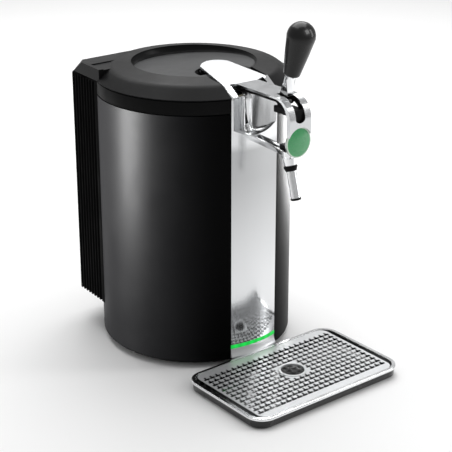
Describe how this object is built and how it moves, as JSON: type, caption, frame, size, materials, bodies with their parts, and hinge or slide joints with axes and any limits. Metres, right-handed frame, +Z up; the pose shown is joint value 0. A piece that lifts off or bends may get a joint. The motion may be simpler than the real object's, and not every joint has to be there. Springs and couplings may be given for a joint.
{
  "type": "mini keg beer dispenser",
  "caption": "Insulated barrel cooler for a mini keg, with a hinged lid, a hinged chrome tap with a lever and pinch plunger, a rear cooling unit and a separate drip tray with a lift-out grille.",
  "frame": {"origin": "on the counter in the plane of symmetry, halfway between the drip tray's front edge and the switch at the back, which is the bottom centre of the whole object's box; the barrel's upright axis stands 69.43 mm behind it", "axes": "+Z up; -Y forwards, the way the tap and the drip tray face; +X to the right of somebody who stands in front of the tap and faces it"},
  "size_m": [0.26, 0.4352, 0.4768],
  "materials": {
    "barrel_plastic": "satin",
    "black_plastic": "satin",
    "dark_plastic": "satin",
    "lid_plastic": "satin",
    "disc_plastic": "satin",
    "white_plastic": "satin",
    "red_plastic": "gloss",
    "foam": "matte",
    "rubber": "matte",
    "ceramic": "matte",
    "circuit_board": "satin",
    "aluminium": "satin",
    "zinc_steel": "satin",
    "polished_steel": "polished",
    "chrome": "polished",
    "grille_steel": "satin",
    "tray_gloss": "gloss",
    "grip_black": "satin",
    "pale_trim": "gloss",
    "green_gloss": "gloss",
    "green_light": "gloss"
  },
  "bodies": {
    "dispenser": {"outer_shell": "barrel_plastic", "collar_ring": "black_plastic", "insulation_foam": "foam", "keg_well": "aluminium", "base_pan": "black_plastic", "rubber_feet": "rubber", "base_screws": "zinc_steel", "front_panel": "polished_steel", "panel_foot": "chrome", "light_strip": "green_light", "light_board": "circuit_board", "tube_channel": "chrome", "spout_cone": "chrome", "spout_collar": "black_plastic", "spout_nozzle": "chrome", "nozzle_tip": "black_plastic", "rear_housing": "dark_plastic", "housing_screws": "zinc_steel", "cold_block": "aluminium", "peltier_module": "ceramic", "heat_sink": "aluminium", "fan_frame": "black_plastic", "rear_grille": "dark_plastic", "power_supply": "zinc_steel", "control_board": "circuit_board", "power_inlet": "black_plastic", "switch_frame": "black_plastic", "lid_hinge_pins": "zinc_steel"},
    "fan": {"fan_rotor": "black_plastic"},
    "rocker": {"rocker_button": "red_plastic"},
    "lid": {"lid_shell": "lid_plastic", "lid_disc": "disc_plastic", "lid_liner": "white_plastic", "lid_core": "foam", "lid_seal": "rubber", "lid_trim": "chrome", "cover_hinge_pin": "zinc_steel"},
    "cover": {"tap_cover": "chrome", "cover_liner": "black_plastic", "badge_ring": "pale_trim", "tap_badge": "green_gloss", "lever_pin": "zinc_steel"},
    "lever": {"lever_stem": "chrome", "lever_grip": "grip_black"},
    "plunger": {"pinch_plunger": "black_plastic"},
    "tray": {"tray_body": "tray_gloss", "tray_rim": "chrome", "tray_feet": "rubber"},
    "grille": {"tray_grille": "grille_steel"}
  },
  "joints": [
    {"name": "lid_hinge", "type": "hinge", "parent": "dispenser", "child": "lid", "pos_m": [0, 0.20093, 0.366], "axis": [-1, 0, 0], "range_deg": [0, 85]},
    {"name": "cover_hinge", "type": "hinge", "parent": "lid", "child": "cover", "pos_m": [0, 0.02743, 0.3844], "axis": [-1, 0, 0], "range_deg": [0, 75]},
    {"name": "lever_pivot", "type": "hinge", "parent": "cover", "child": "lever", "pos_m": [0, -0.11357, 0.3755], "axis": [1, 0, 0], "range_deg": [0, 75]},
    {"name": "plunger_slide", "type": "slide", "parent": "cover", "child": "plunger", "axis": [0, 0, 1], "range_m": [0, 0.005]},
    {"name": "tray_slide", "type": "slide", "parent": "dispenser", "child": "tray", "axis": [0, -1, 0], "range_m": [0, 0.15]},
    {"name": "grille_lift", "type": "slide", "parent": "tray", "child": "grille", "axis": [0, 0, 1], "range_m": [0, 0.04]},
    {"name": "fan_spin", "type": "hinge", "parent": "dispenser", "child": "fan", "pos_m": [0, 0.20143, 0.23], "axis": [0, 1, 0], "continuous": true},
    {"name": "rocker_tilt", "type": "hinge", "parent": "dispenser", "child": "rocker", "pos_m": [0.012, 0.21443, 0.084], "axis": [1, 0, 0], "range_deg": [-14, 0]}
  ],
  "couplings": [
    {"joint": "plunger_slide", "follows": "lever_pivot", "m_per_rad": 0.0038}
  ]
}
